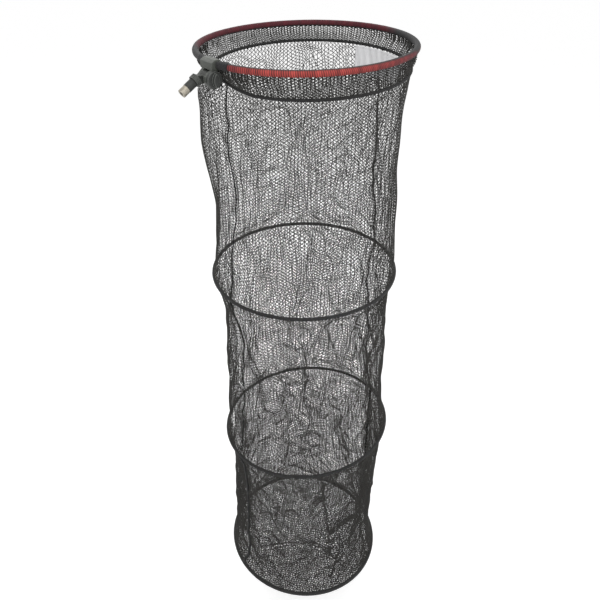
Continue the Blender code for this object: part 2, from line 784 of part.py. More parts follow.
def clamp_pieces(finishes, frame, rim_frame):
    length = clamp_length
    outer_half = [(fit_gap / 2, clamp_top), (clamp_out - 2 * clamp_top_chamfer, clamp_top),
                  (clamp_out, clamp_top - clamp_top_chamfer),
                  (clamp_out, -clamp_bottom + clamp_low_chamfer),
                  (clamp_out - clamp_low_chamfer, -clamp_bottom), (fit_gap / 2, -clamp_bottom)]
    inner_half = [(-fit_gap / 2, -clamp_bottom), (-clamp_in + clamp_low_chamfer, -clamp_bottom),
                  (-clamp_in, -clamp_bottom + clamp_low_chamfer),
                  (-clamp_in, clamp_top - clamp_top_chamfer),
                  (-clamp_in + clamp_top_chamfer, clamp_top), (-fit_gap / 2, clamp_top)]
    body = solid("clamp_body", prism(outer_half, -clamp_half, length),
                 finishes["clamp_plastic"], frame)
    cap = solid("clamp_cap", prism(inner_half, -clamp_half, length),
                finishes["clamp_plastic"], frame)

    front = cutter("front_ear", ear(front_ear_radius, front_ear_inner, front_ear_wall), frame)
    rear = cutter("rear_ear", ear(rear_ear_radius, rear_ear_back, rear_ear_wall), frame)
    valley = tooth_height * tooth_valley_share
    face = front_ear_inner
    teeth = tooth_ring(face + overrun, face - valley, face - tooth_height, 0)
    bmesh.ops.translate(teeth, vec=(pivot_out, 0, -pivot_drop), verts=teeth.verts)
    teeth = cutter("ear_teeth", teeth, frame)
    for piece in (front, rear, teeth):
        combine(body, piece, "UNION")

    groove = rim_ring([round_section(joiner_outer + fit_gap, rim_sides)])
    groove = cut_rim(groove, -clamp_half - overrun, clamp_half + overrun, True, False)
    groove = cutter("clamp_groove", groove, rim_frame)
    combine(body, groove, "DIFFERENCE")
    combine(cap, groove, "DIFFERENCE")

    bore = turned([(rear_ear_back - overrun, 0), (rear_ear_back - overrun, bolt_radius + fit_gap),
                   (front_ear_front + overrun, bolt_radius + fit_gap),
                   (front_ear_front + overrun, 0)], small_sides)
    along_y(bore)
    bmesh.ops.translate(bore, vec=(pivot_out, 0, -pivot_drop), verts=bore.verts)
    combine(body, cutter("pivot_bore", bore, frame), "DIFFERENCE")

    # The two screws come in from the net's side, under the rim
    head_seat = -clamp_in + clamp_screw_head_length
    tip = head_seat + clamp_screw_length - clamp_screw_head_length
    shank = clamp_screw_diameter / 2
    head = clamp_screw_head_diameter / 2
    for side, place in (("a", -clamp_screw_spacing / 2), ("b", clamp_screw_spacing / 2)):
        spot = (place, -clamp_screw_drop)
        hole = turned([(-clamp_in - overrun, 0), (-clamp_in - overrun, head + fit_gap),
                       (head_seat + fit_gap, head + fit_gap),
                       (head_seat + fit_gap, shank + fit_gap), (tip + fit_gap, shank + fit_gap),
                       (tip + fit_gap, 0)], small_sides, spot)
        hole = cutter("screw_hole_" + side, hole, frame)
        combine(body, hole, "DIFFERENCE")
        combine(cap, hole, "DIFFERENCE")
        screw = turned([(-clamp_in, 0), (-clamp_in, head), (head_seat, head),
                        (head_seat, shank), (tip, shank), (tip, 0)], small_sides, spot)
        solid("clamp_screw_" + side, screw, finishes["bolt_steel"], frame)


# Pivot bolt, washer and knob

def bolt_and_washer(finishes, frame):
    head_front = rear_ear_back - fit_gap
    tip = knob_back + knob_bore_depth - fit_gap
    shape = prism(hexagon(bolt_head_flats), head_front - bolt_head_length, bolt_head_length)
    bolt = solid("pivot_bolt", shape, finishes["bolt_steel"], frame)
    shank = turned([(head_front - overrun, 0), (head_front - overrun, bolt_radius),
                    (tip, bolt_radius), (tip, 0)], small_sides)
    combine(bolt, cutter("bolt_shank", along_y(shank), frame), "UNION")

    inner = bolt_radius + fit_gap
    washer = turned([(front_ear_front + fit_gap, inner), (washer_front, inner),
                     (washer_front, washer_diameter / 2),
                     (front_ear_front + fit_gap, washer_diameter / 2)], round_sides)
    solid("pivot_washer", along_y(washer), finishes["bolt_steel"], frame)


def knob_pieces(finishes, frame):
    radius = knob_diameter / 2
    face = knob_back + knob_wall
    corner = math.sqrt(0.5) * knob_edge_radius
    profile = [(knob_back, 0), (knob_back, radius - knob_edge_radius / 2),
               (knob_back + knob_edge_radius / 2, radius), (face - knob_edge_radius, radius),
               (face - knob_edge_radius + corner, radius - knob_edge_radius + corner),
               (face, radius - knob_edge_radius), (face, 0)]
    knob = solid("knob", along_y(turned(profile, round_sides)), finishes["knob_plastic"], frame)

    # The grip is a lens seen from the front: two arcs through its two points
    half_length = grip_length / 2
    half_width = grip_width / 2
    arc_radius = (half_length ** 2 + half_width ** 2) / (2 * half_width)
    half_sweep = math.asin(half_length / arc_radius)
    shift = arc_radius - half_width
    right = arc_points((-shift, 0), arc_radius, -half_sweep, half_sweep, small_sides // 2)
    left = arc_points((shift, 0), arc_radius, half_turn - half_sweep, half_turn + half_sweep,
                      small_sides // 2)
    grip = prism(right + left[1:-1], face - overrun, grip_height + overrun)
    combine(knob, cutter("knob_grip", grip, frame), "UNION")

    nut_front = knob_back + fit_gap + knob_nut_length
    pocket = prism(hexagon(knob_nut_flats + 2 * fit_gap), knob_back - overrun,
                   nut_front + fit_gap - knob_back + overrun)
    combine(knob, cutter("nut_pocket", pocket, frame), "DIFFERENCE")
    bore = turned([(knob_back - overrun, 0), (knob_back - overrun, bolt_radius + fit_gap),
                   (knob_back + knob_bore_depth, bolt_radius + fit_gap),
                   (knob_back + knob_bore_depth, 0)], small_sides)
    combine(knob, cutter("knob_bore", along_y(bore), frame), "DIFFERENCE")
    weld(knob)

    nut = solid("knob_nut", prism(hexagon(knob_nut_flats), knob_back + fit_gap, knob_nut_length),
                finishes["brass"], frame)
    hole = turned([(knob_back - overrun, 0), (knob_back - overrun, bolt_radius + fit_gap),
                   (nut_front + overrun, bolt_radius + fit_gap), (nut_front + overrun, 0)],
                  small_sides)
    combine(nut, cutter("nut_bore", along_y(hole), frame), "DIFFERENCE")


# Arm

def arm_pieces(finishes, frame):
    axis = (0, arm_offset)
    hub = turned([(-hub_width / 2, 0), (-hub_width / 2, hub_radius), (hub_width / 2, hub_radius),
                  (hub_width / 2, 0)], round_sides)
    head = solid("arm_head", along_y(hub), finishes["arm_plastic"], frame)
    # The hub's teeth are set half a tooth round, so that ridges meet valleys
    face = hub_width / 2
    valley = tooth_height * tooth_valley_share
    teeth = tooth_ring(face - overrun, face + valley, face + tooth_height, 1)
    combine(head, cutter("hub_teeth", teeth, frame), "UNION")

    low = arm_offset - collar_diameter / 2
    high = arm_offset + collar_diameter / 2
    neck = [(-arm_neck_start / 2, -hub_radius + overrun), (collar_start + overrun, low + overrun),
            (collar_start + overrun, high - overrun), (arm_neck_start, hub_radius - overrun / 2)]
    combine(head, cutter("arm_neck", prism(neck, -arm_neck_width / 2, arm_neck_width), frame),
            "UNION")

    outer = collar_diameter / 2
    end = collar_start + collar_length
    pitch = collar_length / (groove_count + 1)
    profile = [(collar_start, 0), (collar_start, outer)]
    for k in range(groove_count):
        middle = collar_start + pitch * (k + 1)
        profile += [(middle - groove_width / 2, outer),
                    (middle - groove_width / 2, outer - groove_depth),
                    (middle + groove_width / 2, outer - groove_depth),
                    (middle + groove_width / 2, outer)]
    profile += [(end, outer), (end, 0)]
    combine(head, cutter("arm_collar", turned(profile, round_sides, axis), frame), "UNION")

    seat = spigot_diameter / 2 + fit_gap
    floor = end - spigot_length - fit_gap
    socket = turned([(floor, 0), (floor, seat), (end + overrun, seat), (end + overrun, 0)],
                    round_sides, axis)
    combine(head, cutter("arm_socket", socket, frame), "DIFFERENCE")
    bore = turned([(-hub_width / 2 - overrun, 0),
                   (-hub_width / 2 - overrun, bolt_radius + fit_gap),
                   (hub_width / 2 + overrun, bolt_radius + fit_gap),
                   (hub_width / 2 + overrun, 0)], small_sides)
    combine(head, cutter("arm_bore", along_y(bore), frame), "DIFFERENCE")
    weld(head)

    body = insert_body_diameter / 2 + fit_gap
    spigot_start = end - spigot_length
    sleeve_tube = turned([(spigot_start, body), (spigot_start, spigot_diameter / 2),
                          (sleeve_start, spigot_diameter / 2), (sleeve_start, sleeve_diameter / 2),
                          (sleeve_end, sleeve_diameter / 2), (sleeve_end, body)],
                         round_sides, axis)
    solid("socket_sleeve", sleeve_tube, finishes["arm_plastic"], frame)

    thread = thread_bore_diameter / 2
    insert = turned([(insert_body_start, thread), (insert_body_start, insert_body_diameter / 2),
                     (sleeve_end + fit_gap, insert_body_diameter / 2),
                     (sleeve_end + fit_gap, insert_head_diameter / 2),
                     (insert_end, insert_head_diameter / 2), (insert_end, thread)],
                    round_sides, axis)
    solid("thread_insert", insert, finishes["brass"], frame)


def build():
    clear_scene()
    finishes = make_finishes()
    rim_frame = frame_at("rim_centre", rim_centre)
    clamp_frame = frame_at("clamp_centre", (-rim_long_half, 0, 0), (0, 0, half_turn), rim_frame)
    pivot = (pivot_out, 0, -pivot_drop)
    knob_frame = frame_at("knob_axis", pivot, parent=clamp_frame)
    tilt_frame = frame_at("tilt_pivot", pivot, (0, arm_slope, 0), clamp_frame)

    rim_pieces(finishes, rim_frame)
    cord_and_collar(finishes, rim_frame)
    hoops = hoop_table()
    net_walls(finishes, rim_frame, hoops)
    sewn_label(finishes, rim_frame, hoops[0])
    for hoop in hoops:
        centre = (*hoop["centre"], -hoop["depth"])
        frame = frame_at(hoop["name"] + "_centre", centre, lean_turn(hoop["lean"]), rim_frame)
        hoop_pieces(finishes, hoop, frame)
        if hoop["name"] == "base_hoop":
            base_net(finishes, hoop, frame)
    clamp_pieces(finishes, clamp_frame, rim_frame)
    bolt_and_washer(finishes, knob_frame)
    knob_pieces(finishes, knob_frame)
    arm_pieces(finishes, tilt_frame)


build()
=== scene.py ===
"""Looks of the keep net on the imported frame: netting, tapes, rim cover, label and finishes.

Every size is in metres. Angles run round the net from +X, seen from above, and the clamp is
at half a turn. The camera stands where the photograph was taken from.
"""

import math

import bmesh
import bpy
import numpy as np
from mathutils import Matrix, Vector


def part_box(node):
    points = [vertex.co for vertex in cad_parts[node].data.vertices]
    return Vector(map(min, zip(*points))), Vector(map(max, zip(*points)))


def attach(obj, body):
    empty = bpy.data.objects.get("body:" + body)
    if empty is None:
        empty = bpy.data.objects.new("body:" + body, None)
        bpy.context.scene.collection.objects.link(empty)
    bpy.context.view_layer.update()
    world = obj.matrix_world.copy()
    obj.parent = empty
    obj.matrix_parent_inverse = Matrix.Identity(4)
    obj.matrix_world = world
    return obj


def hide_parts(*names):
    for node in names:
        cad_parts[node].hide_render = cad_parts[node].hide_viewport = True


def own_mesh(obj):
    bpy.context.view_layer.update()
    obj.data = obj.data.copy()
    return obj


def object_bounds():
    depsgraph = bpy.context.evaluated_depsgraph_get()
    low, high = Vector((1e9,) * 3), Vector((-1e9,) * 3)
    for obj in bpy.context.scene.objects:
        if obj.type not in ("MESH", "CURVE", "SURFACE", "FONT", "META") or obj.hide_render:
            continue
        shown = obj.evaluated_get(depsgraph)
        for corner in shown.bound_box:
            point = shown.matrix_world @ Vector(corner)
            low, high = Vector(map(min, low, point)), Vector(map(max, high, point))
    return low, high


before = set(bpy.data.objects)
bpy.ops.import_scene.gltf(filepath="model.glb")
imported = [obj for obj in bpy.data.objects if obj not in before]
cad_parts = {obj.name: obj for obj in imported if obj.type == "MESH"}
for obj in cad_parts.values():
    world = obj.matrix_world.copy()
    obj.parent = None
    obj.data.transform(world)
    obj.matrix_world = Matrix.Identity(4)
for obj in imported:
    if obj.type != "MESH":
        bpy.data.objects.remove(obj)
cad_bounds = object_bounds()

HALF_TURN = math.pi
FULL_TURN = math.tau
UP = np.array((0.0, 0.0, 1.0))

# The angles of the net's left and right edges, as the camera sees them
LEFT_EDGE = math.radians(141)
RIGHT_EDGE = math.radians(-39)

# How many sides a thread of the netting has, and a tape sewn down its side
THREAD_SIDES = 3
TAPE_SIDES = 8

# Corners nearer than this are joined when a tube is closed
WELD_DISTANCE = 0.00002


# Rings read from the frame

def mesh_points(mesh):
    """Every corner of a mesh, as rows of x, y and z."""
    flat = np.empty(len(mesh.vertices) * 3)
    mesh.vertices.foreach_get("co", flat)
    return flat.reshape(-1, 3)


def node_points(name):
    """Every corner of a frame node."""
    return mesh_points(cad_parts[name].data)


def ring_of(name, stations=36):
    """A ring's centre line: its centre, and its radius and height at angles round it."""
    points = node_points(name)
    low, high = points.min(axis=0), points.max(axis=0)
    centre = (low + high)[:2] / 2
    angles = np.arctan2(points[:, 1] - centre[1], points[:, 0] - centre[0])
    radii = np.hypot(points[:, 0] - centre[0], points[:, 1] - centre[1])
    step = FULL_TURN / stations
    bins = np.rint(angles / step).astype(int) % stations
    used = sorted(set(bins))
    return {
        "centre": centre,
        "angles": np.array([b * step for b in used]),
        "radii": np.array([radii[bins == b].mean() for b in used]),
        "heights": np.array([points[bins == b, 2].mean() for b in used]),
    }


def ring_at(ring, angles, rise=0.0, inset=0.0):
    """Points on a ring's centre line, or above it and nearer its middle."""
    angles = np.asarray(angles, float) % FULL_TURN
    radii = np.interp(angles, ring["angles"], ring["radii"], period=FULL_TURN) - inset
    heights = np.interp(angles, ring["angles"], ring["heights"], period=FULL_TURN) + rise
    across = ring["centre"][0] + radii * np.cos(angles)
    along = ring["centre"][1] + radii * np.sin(angles)
    return np.stack((across, along, heights), axis=-1)


def outward(angles):
    """The level direction away from the middle at each angle."""
    angles = np.asarray(angles, float)
    return np.stack((np.cos(angles), np.sin(angles), np.zeros_like(angles)), axis=-1)


rim_ring = ring_of("rim_rod")
cord_ring = ring_of("seam_cord")
upper_ring = ring_of("upper_hoop_rod")
lower_ring = ring_of("lower_hoop_rod")
base_ring = ring_of("base_hoop_rod")

rim_low, rim_high = (np.array(corner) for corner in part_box("rim_cover"))
rim_middle = Vector(((rim_low + rim_high) / 2))
rim_middle.y = 0
cover_radius = (rim_high[2] - rim_low[2]) / 2 / math.cos(math.radians(22.5))
wall_radius = float(upper_ring["radii"].mean())
ring_girth = FULL_TURN * wall_radius

# The seam rope and the tapes round the hoops
cord_radius = 0.0032
hoop_radius = 0.0043
base_hoop_radius = 0.0056

# The base net's mesh and threads, and the length of one straight step of an upright thread
base_mesh_width = 0.0068
base_thread_radius = 0.00098
thread_step = 0.013


# Materials

def add(tree, kind, settings=None, **inputs):
    """Add a node; inputs are named by their sockets, with _ for a space."""
    item = tree.nodes.new(kind)
    for key, value in (settings or {}).items():
        setattr(item, key, value)
    for key, value in inputs.items():
        socket = item.inputs[key.replace("_", " ")]
        if isinstance(value, bpy.types.NodeSocket):
            tree.links.new(value, socket)
        else:
            socket.default_value = value
    return item


def shade(colour):
    """A colour with full cover."""
    return (*colour, 1.0)


def new_finish(name, roughness, metallic=0.0, sheen=0.0, specular=0.5):
    """A Principled material, with its tree and shader."""
    made = bpy.data.materials.new(name)
    made.use_nodes = True
    tree = made.node_tree
    shader = tree.nodes["Principled BSDF"]
    shader.inputs["Roughness"].default_value = roughness
    shader.inputs["Metallic"].default_value = metallic
    shader.inputs["Sheen Weight"].default_value = sheen
    shader.inputs["Specular IOR Level"].default_value = specular
    return made, tree, shader


def two_tones(tree, share, dark, light, low=0.35, high=0.65):
    """A colour that goes from dark to light as share goes from low to high."""
    ramp = add(tree, "ShaderNodeMapRange", Value=share, From_Min=low, From_Max=high)
    mix = add(tree, "ShaderNodeMix", {"data_type": "RGBA"}, Factor=ramp.outputs["Result"])
    mix.inputs[6].default_value = shade(dark)
    mix.inputs[7].default_value = shade(light)
    return mix.outputs[2]


def surface_noise(tree, scale, detail=3.0, stretch=(1, 1, 1)):
    """Noise fixed to the piece, finer as the scale rises."""
    place = add(tree, "ShaderNodeTexCoord")
    mapping = add(tree, "ShaderNodeMapping", Vector=place.outputs["Object"], Scale=stretch)
    noise = add(tree, "ShaderNodeTexNoise", Vector=mapping.outputs["Vector"], Scale=scale,
                Detail=detail)
    return noise.outputs["Fac"]


def raise_surface(tree, shader, height, distance):
    """Fine relief, as deep as the distance, on the shader's surface."""
    bump = add(tree, "ShaderNodeBump", Height=height, Distance=distance, Strength=1.0)
    tree.links.new(bump.outputs["Normal"], shader.inputs["Normal"])


def moulded(name, dark, light, roughness, edge, grain=0.00012):
    """Moulded plastic: slow colour drift, a fine grain, uneven gloss and edges painted paler, a
    painted highlight with rubbed wear.
    """
    highlight_and_wear_width = 0.0017
    made, tree, shader = new_finish(name, roughness)
    blotch = surface_noise(tree, 55)
    soft = add(tree, "ShaderNodeBevel", {"samples": 6}, Radius=highlight_and_wear_width)
    plain = add(tree, "ShaderNodeNewGeometry")
    turn = add(tree, "ShaderNodeVectorMath", {"operation": "DOT_PRODUCT"})
    tree.links.new(soft.outputs["Normal"], turn.inputs[0])
    tree.links.new(plain.outputs["Normal"], turn.inputs[1])
    # An edge is where the rounded direction turns away from the plain one; there the colour is
    # painted paler, a painted highlight with rubbed wear
    worn = add(tree, "ShaderNodeMapRange", Value=turn.outputs["Value"], From_Min=0.995,
               From_Max=0.90)
    edge_highlight_and_wear = add(tree, "ShaderNodeMix", {"data_type": "RGBA"}, Factor=worn.outputs["Result"])
    tree.links.new(two_tones(tree, blotch, dark, light), edge_highlight_and_wear.inputs[6])
    edge_highlight_and_wear.inputs[7].default_value = shade(edge)
    tree.links.new(edge_highlight_and_wear.outputs[2], shader.inputs["Base Color"])
    patch = add(tree, "ShaderNodeMapRange", Value=surface_noise(tree, 160),
                To_Min=roughness - 0.08, To_Max=roughness + 0.10)
    tree.links.new(patch.outputs["Result"], shader.inputs["Roughness"])
    raise_surface(tree, shader, surface_noise(tree, 2600, 2.0), grain)
    tree.links.new(soft.outputs["Normal"], tree.nodes["Bump"].inputs["Normal"])
    return made


def metal(name, dark, light, roughness, stretch=(1, 1, 1)):
    """Turned or drawn metal with fine lines and slight tarnish."""
    made, tree, shader = new_finish(name, roughness, metallic=1.0)
    tree.links.new(two_tones(tree, surface_noise(tree, 90), dark, light),
                   shader.inputs["Base Color"])
    raise_surface(tree, shader, surface_noise(tree, 1500, 2.0, stretch), 0.00004)
    return made


def woven(name, dark, light, thread, roughness=0.85, sheen=0.3, depth=0.00018):
    """Cloth with crossing threads, laid out by the piece's own UV map in metres."""
    made, tree, shader = new_finish(name, roughness, sheen=sheen, specular=0.25)
    layout = add(tree, "ShaderNodeUVMap", {"uv_map": "cloth"})
    split = add(tree, "ShaderNodeSeparateXYZ", Vector=layout.outputs["UV"])
    waves = []
    for socket in ("X", "Y"):
        turns = add(tree, "ShaderNodeMath", {"operation": "MULTIPLY"})
        tree.links.new(split.outputs[socket], turns.inputs[0])
        turns.inputs[1].default_value = FULL_TURN / thread
        wave = add(tree, "ShaderNodeMath", {"operation": "SINE"})
        tree.links.new(turns.outputs[0], wave.inputs[0])
        waves.append(wave.outputs[0])
    cross = add(tree, "ShaderNodeMath", {"operation": "MULTIPLY"})
    for socket, wave in zip(cross.inputs, waves):
        tree.links.new(wave, socket)
    height = add(tree, "ShaderNodeMapRange", Value=cross.outputs[0], From_Min=-1.0, From_Max=1.0)
    blotch = surface_noise(tree, 120, 4.0)
    both = add(tree, "ShaderNodeMath", {"operation": "ADD"})
    tree.links.new(height.outputs["Result"], both.inputs[0])
    tree.links.new(blotch, both.inputs[1])
    tree.links.new(two_tones(tree, both.outputs[0], dark, light, 0.5, 1.5),
                   shader.inputs["Base Color"])
    raise_surface(tree, shader, height.outputs["Result"], depth)
    return made


def rim_weave():
    """Ribbed braid: a red strip on black, in painted light or painted shade, from the cover's
    own attributes.
    """
    made, tree, shader = new_finish("rim_weave", 0.7, sheen=0.05, specular=0.25)
    red = add(tree, "ShaderNodeAttribute", {"attribute_name": "red"})
    rib = add(tree, "ShaderNodeAttribute", {"attribute_name": "rib"})
    fleck = surface_noise(tree, 700, 3.0)
    # The red in painted light and the red in painted shade, each with its ribs
    painted_lit_red = two_tones(tree, rib.outputs["Fac"], (0.060, 0.014, 0.014),
                       (0.64, 0.095, 0.080), 0, 1)
    painted_shade_red = two_tones(tree, rib.outputs["Fac"], (0.040, 0.010, 0.014),
                       (0.135, 0.018, 0.026), 0, 1)
    black = two_tones(tree, fleck, (0.016, 0.016, 0.017), (0.040, 0.040, 0.040))
    # The cover's attribute of painted light mixes the two reds: lit where high, painted shade
    # where low
    painted_light_share = add(tree, "ShaderNodeAttribute", {"attribute_name": "painted_light"})
    strip = add(tree, "ShaderNodeMix", {"data_type": "RGBA"}, Factor=painted_light_share.outputs["Fac"])
    tree.links.new(painted_shade_red, strip.inputs[6])
    tree.links.new(painted_lit_red, strip.inputs[7])
    whole = add(tree, "ShaderNodeMix", {"data_type": "RGBA"}, Factor=red.outputs["Fac"])
    tree.links.new(black, whole.inputs[6])
    tree.links.new(strip.outputs[2], whole.inputs[7])
    tree.links.new(whole.outputs[2], shader.inputs["Base Color"])
    raise_surface(tree, shader, fleck, 0.0002)
    return made


# Cloth gives its dark and light colour, thread width, roughness, sheen and relief; moulded
# plastic its two colours, roughness and the paler colour of its edges, a painted highlight with
# rubbed wear; metal its two colours and roughness
finishes = {
    "thread": woven("net_thread", (0.019, 0.018, 0.016), (0.060, 0.058, 0.053), 0.0011,
                    0.7, 0.08),
    "tape": woven("hoop_tape", (0.018, 0.018, 0.018), (0.046, 0.046, 0.046), 0.0024,
                  0.85, 0.05),
    "cord": woven("seam_cord_braid", (0.010, 0.010, 0.010), (0.032, 0.032, 0.032), 0.0022,
                  0.85, 0.05),
    "binding": woven("side_binding", (0.005, 0.005, 0.005), (0.018, 0.018, 0.018), 0.0012,
                     0.85, 0.05),
    "band": woven("rim_end_band", (0.010, 0.010, 0.011), (0.024, 0.024, 0.025), 0.0009,
                  0.8, 0.1),
    "label": woven("label_cloth", (0.82, 0.82, 0.84), (0.92, 0.92, 0.93), 0.0009,
                   0.75, 0.2, 0.0001),
    "rim": rim_weave(),
    "clamp": moulded("clamp_moulding", (0.062, 0.067, 0.058), (0.084, 0.090, 0.079), 0.56,
                     (0.120, 0.128, 0.114)),
    "arm": moulded("arm_moulding", (0.024, 0.026, 0.023), (0.038, 0.041, 0.037), 0.54,
                   (0.130, 0.138, 0.124)),
    "sleeve": moulded("socket_rubber", (0.016, 0.017, 0.015), (0.026, 0.028, 0.025), 0.62,
                      (0.045, 0.048, 0.043)),
    "knob": moulded("knob_moulding", (0.020, 0.022, 0.020), (0.032, 0.034, 0.032), 0.50,
                    (0.170, 0.180, 0.165)),
    "steel": metal("bolt_steel", (0.42, 0.42, 0.43), (0.60, 0.60, 0.61), 0.32),
    "alloy": metal("rim_alloy", (0.52, 0.52, 0.53), (0.64, 0.64, 0.65), 0.38),
    "brass": metal("pale_brass", (0.60, 0.52, 0.38), (0.74, 0.67, 0.52), 0.36, (1, 12, 1)),
    "insert": metal("plated_insert", (0.27, 0.25, 0.21), (0.40, 0.37, 0.31), 0.52, (1, 12, 1)),
    "rod": moulded("hoop_rod_plastic", (0.020, 0.020, 0.020), (0.040, 0.040, 0.040), 0.5,
                   (0.05, 0.05, 0.05)),
}


# Mesh helpers

def set_points(mesh, points):
    """Move a mesh's corners to the given rows of x, y and z."""
    mesh.vertices.foreach_set("co", np.ascontiguousarray(points, float).ravel())
    mesh.update()


def lay_cloth(mesh, across, along):
    """Lay a piece's UV map, in metres, from each corner's place across and along the cloth."""
    loops = np.empty(len(mesh.loops), int)
    mesh.loops.foreach_get("vertex_index", loops)
    layer = mesh.uv_layers.new(name="cloth")
    layer.data.foreach_set("uv", np.stack((across[loops], along[loops]), axis=-1).ravel())


def finished_piece(name, shape, finish, body, replaced=()):
    """Close a bmesh into a shown piece that rides on a body and stands for CAD nodes."""
    bmesh.ops.recalc_face_normals(shape, faces=shape.faces)
    mesh = bpy.data.meshes.new(name)
    shape.to_mesh(mesh)
    shape.free()
    mesh.materials.append(finish)
    mesh.shade_smooth()
    piece = bpy.data.objects.new(name, mesh)
    bpy.context.scene.collection.objects.link(piece)
    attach(piece, body)
    if replaced:
        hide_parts(*replaced)
    return piece


def weld_tube(mesh, closed):
    """Join the edges of a rolled sheet, and cap its ends where it doesn't go all round."""
    shape = bmesh.new()
    shape.from_mesh(mesh)
    bmesh.ops.remove_doubles(shape, verts=shape.verts, dist=WELD_DISTANCE)
    if not closed:
        ends = [e for e in shape.edges if e.is_boundary]
        bmesh.ops.holes_fill(shape, edges=ends, sides=0)
    bmesh.ops.recalc_face_normals(shape, faces=shape.faces)
    shape.to_mesh(mesh)
    shape.free()


def away_from(angles, place):
    """How far round the net each angle is from a place, from minus to plus half a turn."""
    return (angles - place + HALF_TURN) % FULL_TURN - HALF_TURN


def ripple(angles, counts, seed_offset=0):
    """A gentle unevenness round a ring, from -1 to 1."""
    phases = np.random.default_rng(31 + seed_offset).uniform(0, FULL_TURN, len(counts))
    total = sum(np.sin(count * angles + phase) for count, phase in zip(counts, phases))
    return total / len(counts)


def ring_tube(name, ring, radius, finish, body, replaced, stations=240, sides=16,
              swell=None, start=0.0, sweep=FULL_TURN):
    """A soft tube laid along a ring. swell(angle, around) gives its radius at each place."""
    closed = sweep == FULL_TURN
    shape = bmesh.new()
    bmesh.ops.create_grid(shape, x_segments=stations, y_segments=sides, size=0.5)
    piece = finished_piece(name, shape, finish, body, replaced)
    flat = mesh_points(piece.data)
    angles = start + sweep * (flat[:, 0] + 0.5)
    around = FULL_TURN * flat[:, 1]
    size = radius if swell is None else swell(angles, around)
    out, rise = size * np.cos(around), size * np.sin(around)
    lay_cloth(piece.data, angles * float(ring["radii"].mean()), around * radius)
    set_points(piece.data, ring_at(ring, angles) + outward(angles) * out[:, None]
               + UP * rise[:, None])
    weld_tube(piece.data, closed)
    return piece


# Rim

def rim_cover():
    """Ribbed woven cover over the padded rim, red in painted light at the front and a dull red
    in painted shade at the back.
    """
    clamp_gap = math.radians(5.0)
    seam_place, seam_width = math.radians(140), 0.16
    ribs = 340
    stations = 4 * ribs
    sides = 20
    start = -HALF_TURN + clamp_gap

    def swell(angles, around):
        rib = np.cos(angles * ribs)
        stitched = np.exp(-((around - seam_place) / seam_width) ** 2)
        uneven = ripple(angles, (17, 41, 73))
        return cover_radius * (1 + 0.022 * rib + 0.05 * stitched + 0.012 * uneven)

    piece = ring_tube("rim_weave", rim_ring, cover_radius, finishes["rim"], "rim",
                      ["rim_cover"], stations, sides, swell, start, FULL_TURN - 2 * clamp_gap)
    colour_cover_and_paint_light(piece.data, ribs)


def colour_cover_and_paint_light(mesh, ribs):
    """Give each corner of the rim's cover its red, its painted light and its place on a rib."""
    points = mesh_points(mesh)
    middle = rim_ring["centre"]
    angles = np.arctan2(points[:, 1] - middle[1], points[:, 0] - middle[0])
    spots = ring_at(rim_ring, angles)
    out = ((points - spots) * outward(angles)).sum(axis=1)
    around = np.degrees(np.arctan2(points[:, 2] - spots[:, 2], out))
    degrees = np.degrees(angles)

    def within(values, low, high, soft):
        """1 from low to high and 0 outside, with soft ends."""
        rise = np.clip((values - low) / soft + 0.5, 0, 1)
        fall = np.clip((high - values) / soft + 0.5, 0, 1)
        return rise * fall

    # Where the red shows: first in degrees round the rim, then round its cover, whose outside
    # is at 0 and top at 90. The last number is the width of the soft ends
    front = within(degrees, -170, -60, 8)
    right = within(degrees, -66, 22, 24)
    rear = within(degrees, -4, 148, 12)
    around = (around + 90) % 360 - 90
    red = front * within(around, -89, 56, 10) + rear * within(around, 82, 206, 14)
    red += 0.62 * right * within(around, -60, 20, 26)
    # How brightly the red is painted as lit, at degrees round the rim: painted light, and
    # painted shade where it is low
    painted_light = np.interp(degrees, (-172, -160, -148, -118, -100, -84, -60, 0),
                      (0.15, 0.65, 1.0, 1.0, 0.72, 0.45, 0.05, 0))
    # The ribs lean more towards the front
    slant = np.interp(degrees, (-180, -135, -100, 180), (0, 1.2, 4, 4))
    rib = 0.5 + 0.5 * np.cos(angles * ribs + slant * np.radians(around))
    rib = np.clip(rib * 0.85 + 0.25 * ripple(angles, (29, 61, 97), 5), 0, 1)
    for name, values in (("red", np.clip(red, 0, 1)), ("painted_light", np.clip(painted_light, 0, 1)),
                         ("rib", rib)):
        layer = mesh.attributes.new(name, "FLOAT", "POINT")
        layer.data.foreach_set("value", values)


def end_bands():
    """Black sleeves that finish the cover on both sides of the clamp."""
    band = cover_radius * 1.18
    for side, name in ((-1, "front"), (1, "rear")):
        node = "rim_band_" + name
        low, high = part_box(node)
        ends = sorted((math.asin(abs(low[1]) / float(rim_ring["radii"].mean())),
                       math.asin(abs(high[1]) / float(rim_ring["radii"].mean()))))
        start, sweep = ends[0], ends[1] - ends[0]
        middle = HALF_TURN - side * (start + sweep / 2)

        def swell(angles, around):
            away = np.abs(away_from(angles, middle)) / (sweep / 2)
            tuck = 1 - 0.12 * np.clip(away, 0, 1) ** 8
            folds = 1 + 0.012 * np.sin(around * 5 + angles * 60)
            return band * tuck * folds

        ring_tube("band_" + name, rim_ring, band, finishes["band"], "rim", [node],
                  28, 24, swell, middle - sweep / 2, sweep)


# Netting

def wrinkle(angles, share, seed, fewest, most, climb):
    """Uneven waves of a hanging net, about 1 high and still at its two edges.

    From fewest to most of them go round the net, and each climbs up to climb on its way down.
    """
    number_of_waves = 16
    edge = 0.07
    waves = np.random.default_rng(seed)
    total = np.zeros(np.broadcast(angles, share).shape)
    weights = 0.0
    for _ in range(number_of_waves):
        count = waves.integers(fewest, most)
        slope = waves.uniform(-climb, climb)
        phase = waves.uniform(0, FULL_TURN)
        weight = waves.uniform(0.4, 1.0) / (count + abs(slope) + most / 2)
        total += weight * np.sin(count * angles + slope * share + phase)
        weights += weight ** 2 / 2
    hold = np.clip(share / edge, 0, 1) * np.clip((1 - share) / edge, 0, 1)
    return total / math.sqrt(weights) * hold


